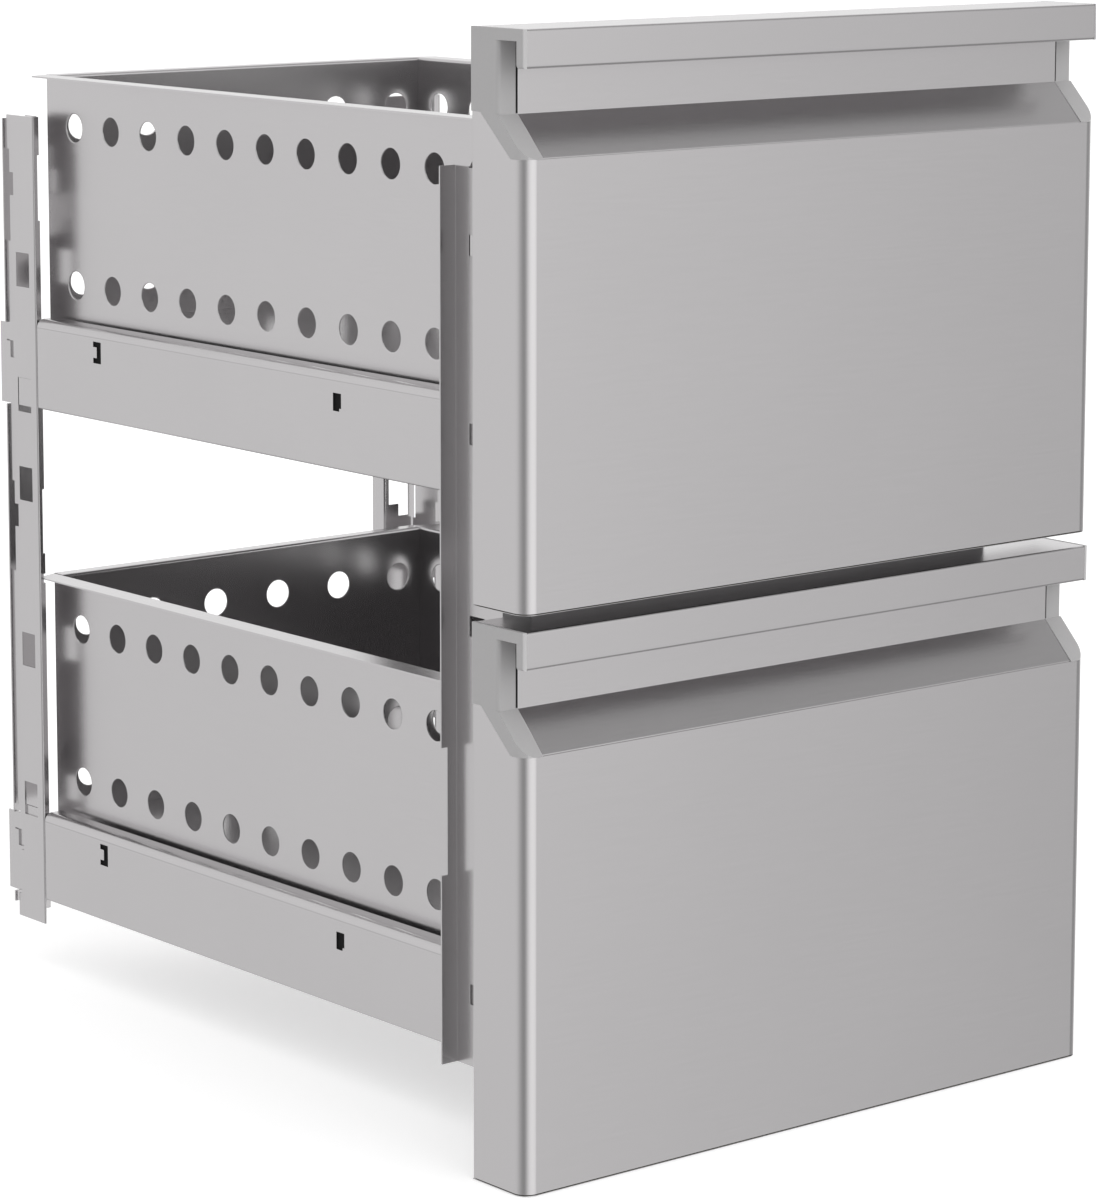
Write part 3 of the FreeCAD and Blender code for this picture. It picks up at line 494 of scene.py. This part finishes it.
def finishTree(tree, given, shape, out):
    real = addNode(tree, "GeometryNodeRealizeInstances", {"Geometry": shape.outputs[0]})
    painted = addNode(tree, "GeometryNodeSetMaterial", {
        "Geometry": real.outputs[0], "Material": given.outputs["Material"]})
    tree.links.new(painted.outputs[0], out.inputs["Geometry"])
    return tree


def bakePiece(name, tree, base, values):
    # runs the tree on the base mesh and keeps the result as a plain mesh
    carrier = addObject(name + "_base", base)
    modifier = carrier.modifiers.new("pattern", "NODES")
    modifier.node_group = tree
    for item in tree.interface.items_tree:
        if item.item_type == "SOCKET" and item.in_out == "INPUT" and item.name in values:
            modifier[item.identifier] = values[item.name]
    bpy.context.view_layer.update()
    graph = bpy.context.evaluated_depsgraph_get()
    mesh = bpy.data.meshes.new_from_object(carrier.evaluated_get(graph), depsgraph=graph)
    carrier.modifiers.remove(modifier)
    bpy.data.objects.remove(carrier)
    return addObject(name, mesh)


def pointMesh(name, points):
    mesh = bpy.data.meshes.new(name)
    mesh.from_pydata([tuple(c * mm for c in p) for p in points], [], [])
    return mesh


def buildRimTree():
    # a rolled rim round every punched hole
    tree, given, out = newTree("holeRims", [
        ("Hole Radius", "NodeSocketFloat", 0.00975), ("Rim Radius", "NodeSocketFloat", 0.00056),
        ("Turn", "NodeSocketVector", (0, 0, 0)), ("Material", "NodeSocketMaterial", None)])
    ring = addNode(tree, "GeometryNodeCurvePrimitiveCircle", {
        "Resolution": 40, "Radius": given.outputs["Hole Radius"]})
    bead = addNode(tree, "GeometryNodeCurvePrimitiveCircle", {
        "Resolution": 8, "Radius": given.outputs["Rim Radius"]})
    swept = addNode(tree, "GeometryNodeCurveToMesh", {
        "Curve": ring.outputs[0], "Profile Curve": bead.outputs[0]})
    smooth = addNode(tree, "GeometryNodeSetShadeSmooth", {"Geometry": swept.outputs[0]})
    return finishTree(tree, given, placeCopies(tree, given, smooth), out)


screwCutters = {"slotLength": 0.02, "under": (0.03, 0.03, 0.02), "underZ": -0.01}


def buildScrewTree():
    # pan heads with a slot, and their shanks
    s = screwCutters
    tree, given, out = newTree("slottedScrews", [
        ("Head Radius", "NodeSocketFloat", 0.004), ("Head Height", "NodeSocketFloat", 0.0022),
        ("Shank Radius", "NodeSocketFloat", 0.002), ("Shank Length", "NodeSocketFloat", 0.012),
        ("Slot Width", "NodeSocketFloat", 0.0011), ("Turn", "NodeSocketVector", (0, 0, 0)),
        ("Material", "NodeSocketMaterial", None)])
    headRadius, headHeight = given.outputs["Head Radius"], given.outputs["Head Height"]
    shankLength = given.outputs["Shank Length"]
    domeScale = addNode(tree, "ShaderNodeCombineXYZ", {0: headRadius, 1: headRadius, 2: headHeight})
    ball = addNode(tree, "GeometryNodeMeshUVSphere", {"Segments": 28, "Rings": 16, "Radius": 1.0})
    dome = addNode(tree, "GeometryNodeTransform", {
        "Geometry": ball.outputs[0], "Scale": domeScale.outputs[0]})
    slotSize = addNode(tree, "ShaderNodeCombineXYZ", {
        0: s["slotLength"], 1: given.outputs["Slot Width"], 2: headHeight})
    slotBox = addNode(tree, "GeometryNodeMeshCube", {"Size": slotSize.outputs[0]})
    slotLift = addNode(tree, "ShaderNodeCombineXYZ", {2: headHeight})
    slot = addNode(tree, "GeometryNodeTransform", {
        "Geometry": slotBox.outputs[0], "Translation": slotLift.outputs[0]})
    cut = addNode(tree, "GeometryNodeMeshBoolean", operation="DIFFERENCE", solver="EXACT")
    under = addNode(tree, "GeometryNodeMeshCube", {"Size": s["under"]})
    sunk = addNode(tree, "GeometryNodeTransform", {
        "Geometry": under.outputs[0], "Translation": (0, 0, s["underZ"])})
    tools = addNode(tree, "GeometryNodeJoinGeometry")
    tree.links.new(slot.outputs[0], tools.inputs[0])
    tree.links.new(sunk.outputs[0], tools.inputs[0])
    tree.links.new(dome.outputs[0], cut.inputs[0])
    tree.links.new(tools.outputs[0], cut.inputs[1])
    shank = addNode(tree, "GeometryNodeMeshCylinder", {
        "Vertices": 20, "Radius": given.outputs["Shank Radius"], "Depth": shankLength})
    drop = addNode(tree, "ShaderNodeCombineXYZ", {
        2: mathNode(tree, "MULTIPLY", shankLength, -0.5)})
    lowered = addNode(tree, "GeometryNodeTransform", {
        "Geometry": shank.outputs[0], "Translation": drop.outputs[0]})
    whole = addNode(tree, "GeometryNodeJoinGeometry")
    tree.links.new(cut.outputs[0], whole.inputs[0])
    tree.links.new(lowered.outputs[0], whole.inputs[0])
    return finishTree(tree, given, placeCopies(tree, given, whole), out)


def buildBallTree():
    tree, given, out = newTree("bearingBalls", [
        ("Ball Radius", "NodeSocketFloat", 0.002), ("Material", "NodeSocketMaterial", None)])
    ball = addNode(tree, "GeometryNodeMeshUVSphere", {
        "Segments": 20, "Rings": 12, "Radius": given.outputs["Ball Radius"]})
    smooth = addNode(tree, "GeometryNodeSetShadeSmooth", {"Geometry": ball.outputs[0]})
    return finishTree(tree, given, placeCopies(tree, given, smooth), out)


def buildGasketTree():
    # a bellows profile swept round the rear of the front
    tree, given, out = newTree("gasketSweep", [
        ("Width", "NodeSocketFloat", 0.4), ("Height", "NodeSocketFloat", 0.3),
        ("Corner", "NodeSocketFloat", 0.006), ("Material", "NodeSocketMaterial", None)])
    path = addNode(tree, "GeometryNodeCurvePrimitiveQuadrilateral", {
        "Width": given.outputs["Width"], "Height": given.outputs["Height"]})
    rounded = addNode(tree, "GeometryNodeFilletCurve", {
        "Curve": path.outputs[0], "Radius": given.outputs["Corner"], "Count": 6}, mode="POLY")
    profile = addNode(tree, "GeometryNodeMeshToCurve", {"Mesh": given.outputs["Geometry"]})
    swept = addNode(tree, "GeometryNodeCurveToMesh", {
        "Curve": rounded.outputs[0], "Profile Curve": profile.outputs[0]})
    return finishTree(tree, given, swept, out)


rimTree = buildRimTree()
screwTree = buildScrewTree()
ballTree = buildBallTree()
gasketTree = buildGasketTree()
print("trees for hole rims, screws, balls and gaskets ready")


# Front of each drawer

frontSizes = {
    "halfWidth": 220.5, "faceY": -309.0, "backY": -263.0, "corner": 9.0, "cornerSteps": 14,
    "sheet": 1.0, "return": 17.0, "returnBend": 1.6, "bendSteps": 5, "faceTop": 249.0,
    "strip": 12.0, "seamTop": 273.0, "seamBack": 38.2, "seam": 0.9, "pan": 0.4,
    "skinEdge": 0.15, "panEdge": 0.12,
}


def skinTop(depth):
    # the wrapped side rises behind the grip along the edge of the cap
    s = frontSizes
    if depth <= s["strip"]:
        return s["faceTop"]
    share = min((depth - s["strip"]) / (s["seamBack"] - s["strip"]), 1.0)
    return s["faceTop"] + share * (s["seamTop"] - s["faceTop"])


def arcPoints(centreX, centreY, radius, startAngle, endAngle, steps):
    turn = (endAngle - startAngle) / steps
    return [(centreX + radius * math.cos(startAngle + i * turn),
             centreY + radius * math.sin(startAngle + i * turn)) for i in range(steps + 1)]


def frontCorner():
    s = frontSizes
    return arcPoints(-s["halfWidth"] + s["corner"], s["faceY"] + s["corner"], s["corner"],
                     math.pi, 1.5 * math.pi, s["cornerSteps"])


def withMirror(points):
    return points + [(-x, y) for x, y in reversed(points)]


def skinPlan():
    # left return, left side, face, right side, right return, seen from above
    s = frontSizes
    half, front, back, bend = s["halfWidth"], s["faceY"], s["backY"], s["returnBend"]
    plan = [(-half + s["return"], back)]
    plan += arcPoints(-half + bend, back - bend, bend, math.pi / 2, math.pi, s["bendSteps"])
    plan += [(-half, front + s["seamBack"]), (-half, front + s["strip"])]
    return withMirror(plan + frontCorner())


def makeFrontSkin(levelName, level):
    # one bent sheet, thickened inwards
    s = frontSizes
    plan = skinPlan()
    bm = bmesh.new()
    low = [bm.verts.new((x * mm, y * mm, level + s["seam"] * mm)) for x, y in plan]
    high = [bm.verts.new((x * mm, y * mm, level + skinTop(y - s["faceY"]) * mm)) for x, y in plan]
    for i in range(len(plan) - 1):
        bm.faces.new((low[i], low[i + 1], high[i + 1], high[i]))
    made = objectFrom(bm, "frontSkin_" + levelName, "brushedFrontSteel")
    wall = made.modifiers.new("sheet", "SOLIDIFY")
    wall.thickness = s["sheet"] * mm
    wall.offset = -1.0
    softenEdges(made, s["skinEdge"])
    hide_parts("front_skin_" + levelName)
    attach(made, levelName + "_drawer")


def makeFrontBottom(levelName, level):
    # the flat bottom under the skin, with a seam between them
    s = frontSizes
    ring = withMirror([(-s["halfWidth"], s["backY"])] + frontCorner())
    bm = bmesh.new()
    under = [bm.verts.new((x * mm, y * mm, level)) for x, y in ring]
    over = [bm.verts.new((x * mm, y * mm, level + s["pan"] * mm)) for x, y in ring]
    bm.faces.new(under[::-1])
    bm.faces.new(over)
    for i in range(len(ring)):
        j = (i + 1) % len(ring)
        bm.faces.new((under[i], under[j], over[j], over[i]))
    bmesh.ops.recalc_face_normals(bm, faces=bm.faces)
    pan = objectFrom(bm, "frontBottom_" + levelName, "brushedFrontSteel")
    softenEdges(pan, s["panEdge"])
    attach(pan, levelName + "_drawer")


# sizes of the painted shade strips between the recess panel and the end caps
recessShadeSizes = {"insideX": 207.05, "width": {"left": 1.3, "right": 0.5}, "faceY": -286.6,
             "depth": 0.8, "low": 272.4, "high": 312.2}


def makeRecessShadeLines(levelName, level):
    # a near-black strip of painted shade between the recess panel and each end cap
    s = recessShadeSizes
    for sideName, sign in sideSigns.items():
        reach = sorted((sign * s["insideX"], sign * (s["insideX"] + s["width"][sideName])))
        bm = bmesh.new()
        bmesh.ops.create_cube(bm, size=1.0)
        for vert in bm.verts:
            x = reach[vert.co.x > 0]
            y = s["faceY"] + (s["depth"] if vert.co.y > 0 else 0.0)
            z = s["high"] if vert.co.z > 0 else s["low"]
            vert.co = Vector((x * mm, y * mm, level + z * mm))
        bead = objectFrom(bm, "recessShade_" + levelName + "_" + sideName, "paintedShadeBlack")
        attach(bead, levelName + "_drawer")


gasketSizes = {
    "width": 418.0, "height": 290.0, "corner": 5.0, "backY": -263.0, "centreZ": 156.5,
    "profile": [(-5.0, 0.0), (-5.0, 1.2), (-3.6, 1.8), (-3.6, 2.6), (-4.8, 3.4), (-4.8, 4.6),
                (-3.4, 6.0), (3.4, 6.0), (4.8, 4.6), (4.8, 3.4), (3.6, 2.6), (3.6, 1.8),
                (5.0, 1.2), (5.0, 0.0)],
}


def makeGasket(levelName, level):
    # swept flat, then stood up behind the front
    s = gasketSizes
    count = len(s["profile"])
    profile = bpy.data.meshes.new("gasketProfile")
    profile.from_pydata([(x * mm, z * mm, 0.0) for x, z in s["profile"]],
                        [(i, (i + 1) % count) for i in range(count)], [])
    made = bakePiece("doorGasket_" + levelName, gasketTree, profile, {
        "Width": s["width"] * mm, "Height": s["height"] * mm, "Corner": s["corner"] * mm,
        "Material": finishes["gasketRubber"]})
    bm = bmesh.new()
    bm.from_mesh(made.data)
    for vert in bm.verts:
        x, y, z = vert.co
        vert.co = Vector((x, s["backY"] * mm + abs(z), level + s["centreZ"] * mm + y))
    bmesh.ops.recalc_face_normals(bm, faces=bm.faces)
    bm.to_mesh(made.data)
    bm.free()
    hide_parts("door_gasket_" + levelName)
    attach(made, levelName + "_drawer")


fixingSizes = {
    "tabX": 154.5, "tabLow": 111.0, "tabHeight": 139.0, "tabCount": 3, "tabSeat": -262.0,
    "bracketX": 144.3, "bracketHeights": (88.5, 74.5), "bracketSeat": -261.8,
    "rivetX": 151.3, "rivetFirst": -108.0, "rivetStep": 106.6667, "rivetCount": 4, "rivetZ": 75.45,
    "screw": {"Head Radius": 4.0, "Head Height": 2.2, "Shank Radius": 2.0, "Shank Length": 12.0,
              "Slot Width": 1.1},
    "rivet": {"Head Radius": 4.0, "Head Height": 1.4, "Shank Radius": 2.4, "Shank Length": 1.2,
              "Slot Width": 0.0},
}


def bakeFixings(name, kind, points, turn):
    values = {label: size * mm for label, size in fixingSizes[kind].items()}
    values.update({"Turn": turn, "Material": finishes["screwSteel"]})
    return bakePiece(name, screwTree, pointMesh(kind + "Points", points), values)


def makeFixings(levelName, level):
    s = fixingSizes
    tabHeights = [s["tabLow"] + s["tabHeight"] * (i + 0.5) / s["tabCount"]
                  for i in range(s["tabCount"])]
    screws = [(sign * s["tabX"], s["tabSeat"], level / mm + z)
              for sign in sideSigns.values() for z in tabHeights]
    screws += [(sign * s["bracketX"], s["bracketSeat"], level / mm + z)
               for sign in sideSigns.values() for z in s["bracketHeights"]]
    made = bakeFixings("frontScrews_" + levelName, "screw", screws, (math.radians(-90), 0.0, 0.0))
    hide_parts("drawer_fixings_" + levelName)
    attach(made, levelName + "_drawer")
    for sideName, sign in sideSigns.items():
        rivets = [(sign * s["rivetX"], s["rivetFirst"] + i * s["rivetStep"],
                   level / mm + s["rivetZ"]) for i in range(s["rivetCount"])]
        made = bakeFixings("slideRivets_" + levelName + "_" + sideName, "rivet", rivets,
                           (0.0, math.radians(-90 * sign), 0.0))
        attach(made, levelName + "_drawer")


# Boxes

holeSizes = {
    "radius": 9.75, "rim": 0.56, "sideX": 148.5, "firstY": 240.0, "pitch": 42.0, "count": 12,
    "rows": (229.0, 127.2), "rearY": 263.7, "rearPitch": 51.5, "rearCount": 6,
}


def makeHoleRims(levelName, level):
    s = holeSizes
    rows = [level / mm + z for z in s["rows"]]
    walls = {}  # the holes' centres in each wall and the turn that lays a ring in it
    for sideName, sign in sideSigns.items():
        walls[sideName] = ([(sign * s["sideX"], s["firstY"] - i * s["pitch"], z)
                            for z in rows for i in range(s["count"])],
                           (0.0, math.radians(90), 0.0))
    walls["rear"] = ([((i - (s["rearCount"] - 1) / 2) * s["rearPitch"], s["rearY"], z)
                      for z in rows for i in range(s["rearCount"])],
                     (math.radians(90), 0.0, 0.0))
    for wallName, (points, turn) in walls.items():
        made = bakePiece("holeRims_" + levelName + "_" + wallName, rimTree,
                         pointMesh("rimPoints", points), {
                             "Hole Radius": s["radius"] * mm, "Rim Radius": s["rim"] * mm,
                             "Turn": turn, "Material": finishes["boxSheetSteel"]})
        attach(made, levelName + "_drawer")


# Ball cages of the slides: the strips keep their shape, and the balls are laid in their holes

cageSizes = {
    "outer": {"ballX": 158.6, "ballZ": 19.05}, "inner": {"ballX": 157.9, "ballZ": 13.55},
    "radius": 2.0, "middleY": 52.0, "step": 47.5, "count": 4, "middleZ": 75.45,
    "ballReach": 6.0,  # a shorter island of the CAD node is one of its balls
}


def islands(bm):
    seen = set()
    for start in bm.verts:
        if start in seen:
            continue
        island, queue = {start}, [start]
        while queue:
            for edge in queue.pop().link_edges:
                fresh = [vert for vert in edge.verts if vert not in island]
                island.update(fresh)
                queue.extend(fresh)
        seen |= island
        yield island


def makeCages(cage, levelName, level):
    s = cageSizes
    nodeName = cage + "_ball_cages_" + levelName
    bodyName = frame["nodes"][nodeName]["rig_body"]
    bm = mergedCopy(nodeName)
    loose = []
    for island in islands(bm):
        depths = [vert.co.y for vert in island]
        if max(depths) - min(depths) < s["ballReach"] * mm:
            loose += island
    bmesh.ops.delete(bm, geom=loose, context="VERTS")
    strip = objectFrom(bm, cage + "CageStrips_" + levelName, "slideSteel")
    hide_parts(nodeName)
    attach(strip, bodyName)
    points = [(sign * s[cage]["ballX"], s["middleY"] + (i - (s["count"] - 1) / 2) * s["step"],
               level / mm + s["middleZ"] + row * s[cage]["ballZ"])
              for sign in sideSigns.values() for row in (-1, 1) for i in range(s["count"])]
    balls = bakePiece(cage + "Balls_" + levelName, ballTree, pointMesh("ballPoints", points), {
        "Ball Radius": s["radius"] * mm, "Material": finishes["ballSteel"]})
    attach(balls, bodyName)


# Order of work: what is made here, then the CAD nodes that keep their own shape

finishOf = {  # finish and width of the eased edges, in mm
    "grip_panel": ("brushedFrontSteel", 0.3), "grip_lip": ("brushedFrontSteel", 0.2),
    "front_back_plate": ("brushedFrontSteel", 0.2), "front_insulation": ("coreFoam", 0.0),
    "drawer_box": ("boxSheetSteel", 0.15), "box_rear_wall": ("boxSheetSteel", 0.15),
    "grip_cap": ("capMoulding", 0.7), "rail": ("railSheetSteel", 0.2),
    "hook_plate": ("frameSheetSteel", 0.2), "rear_upright": ("frameSheetSteel", 0.2),
    "wall_standard": ("frameSheetSteel", 0.2), "front_upright": ("frameSheetSteel", 0.2),
    "front_crossbar": ("barPolymer", 0.4), "slide_outer": ("slideSteel", 0.2),
    "slide_middle": ("slideSteel", 0.2), "slide_inner": ("slideSteel", 0.2),
    "slide_bracket": ("frameSheetSteel", 0.2),
}

for levelName, level in drawerLevels.items():
    makeFrontSkin(levelName, level)
    makeFrontBottom(levelName, level)
    makeRecessShadeLines(levelName, level)
    makeGasket(levelName, level)
    makeFixings(levelName, level)
    makeHoleRims(levelName, level)
    for cage in ("outer", "inner"):
        makeCages(cage, levelName, level)
    print("drawer:", levelName)

for nodeName in sorted(frame["nodes"]):
    for kind, (finish, edgeWidth) in finishOf.items():
        if nodeName.startswith(kind):
            if edgeWidth:
                dressNode(nodeName, finish, edgeWidth)
            else:
                slots = frame["nodes"][nodeName].data.materials
                slots.clear()
                slots.append(finishes[finish])
print("CAD nodes dressed")


# Stage: floor, world, lamps and camera

stageSizes = {"floorSize": 60.0, "floorZ": -0.0005, "floorTone": 0.80, "floorGlow": 0.45}


def makeFloor():
    s = stageSizes
    mesh = bpy.data.meshes.new("floor")
    half = s["floorSize"] / 2
    corners = [(-half, -half), (half, -half), (half, half), (-half, half)]
    mesh.from_pydata([(x, y, s["floorZ"]) for x, y in corners], [], [(0, 1, 2, 3)])
    floor = addObject("floor", mesh)
    material = bpy.data.materials.new("paleFloor")
    material.use_nodes = True
    tree = material.node_tree
    tree.nodes.clear()
    seen = addNode(tree, "ShaderNodeLightPath").outputs["Is Camera Ray"]
    glow = addNode(tree, "ShaderNodeEmission", {
        "Color": (1, 1, 1, 1), "Strength": mathNode(tree, "MULTIPLY", seen, s["floorGlow"])})
    matt = addNode(tree, "ShaderNodeBsdfDiffuse", {"Color": (s["floorTone"],) * 3 + (1,)})
    both = addNode(tree, "ShaderNodeAddShader", {0: glow.outputs[0], 1: matt.outputs[0]})
    addNode(tree, "ShaderNodeOutputMaterial", {"Surface": both.outputs[0]})
    mesh.materials.append(material)
    floor.visible_glossy = False  # metal sees the lower half of the studio instead


def makeWorld():
    # a studio with a soft key in front and darker sides, white where the camera sees it
    world = bpy.data.worlds.new("studio")
    bpy.context.scene.world = world
    world.use_nodes = True
    tree = world.node_tree
    tree.nodes.clear()
    direction = addNode(tree, "ShaderNodeTexCoord").outputs["Generated"]
    studio = placeGroup(tree, studioGroup, {"Vector": direction})
    rays = addNode(tree, "ShaderNodeLightPath")
    white = addNode(tree, "ShaderNodeMix", {
        0: rays.outputs["Is Camera Ray"], 2: studio.outputs["Level"], 3: 1.0})
    sky = addNode(tree, "ShaderNodeBackground", {
        "Color": (1, 1, 1, 1), "Strength": white.outputs[0]})
    addNode(tree, "ShaderNodeOutputWorld", {"Surface": sky.outputs[0]})


lampSizes = {
    "keyFront": {"place": (0.5, -3.2, 1.8), "size": 2.4, "power": 9.0},
    "topSoft": {"place": (0.0, 0.3, 3.2), "size": 3.0, "power": 6.0},
}
lampTarget = (0.0, 0.0, 0.32)


def makeLamps():
    for name, s in lampSizes.items():
        data = bpy.data.lights.new(name, "AREA")
        data.shape = "SQUARE"
        data.size = s["size"]
        data.energy = s["power"]
        lamp = addObject(name, data)
        lamp.location = s["place"]
        aim = Vector(lampTarget) - lamp.location
        lamp.rotation_euler = aim.to_track_quat("-Z", "Y").to_euler()
        lamp.visible_glossy = False  # the metal already sees them as part of the studio


cameraSizes = {  # place in metres, turns in degrees, focal length in the picture's pixels
    "place": (-1.6826, -2.1183, 0.7772), "yaw": 39.249, "pitch": 8.329, "roll": -0.059,
    "focal": 4353.5, "picture": 1200, "sensor": 36.0, "rise": -0.15, "near": 0.05, "far": 100.0,
}


def makeCamera():
    s = cameraSizes
    data = bpy.data.cameras.new("camera")
    data.sensor_fit = "AUTO"
    data.sensor_width = s["sensor"]
    data.lens = s["focal"] / s["picture"] * s["sensor"]
    data.shift_y = s["rise"]  # keeps the uprights nearly parallel
    data.clip_start, data.clip_end = s["near"], s["far"]
    camera = addObject("camera", data)
    camera.location = s["place"]
    camera.rotation_euler = (math.radians(90 - s["pitch"]), math.radians(s["roll"]),
                             math.radians(-s["yaw"]))
    bpy.context.scene.camera = camera


makeFloor()
makeWorld()
makeLamps()
makeCamera()
bpy.context.scene.view_settings.view_transform = "Standard"
print("stage ready")
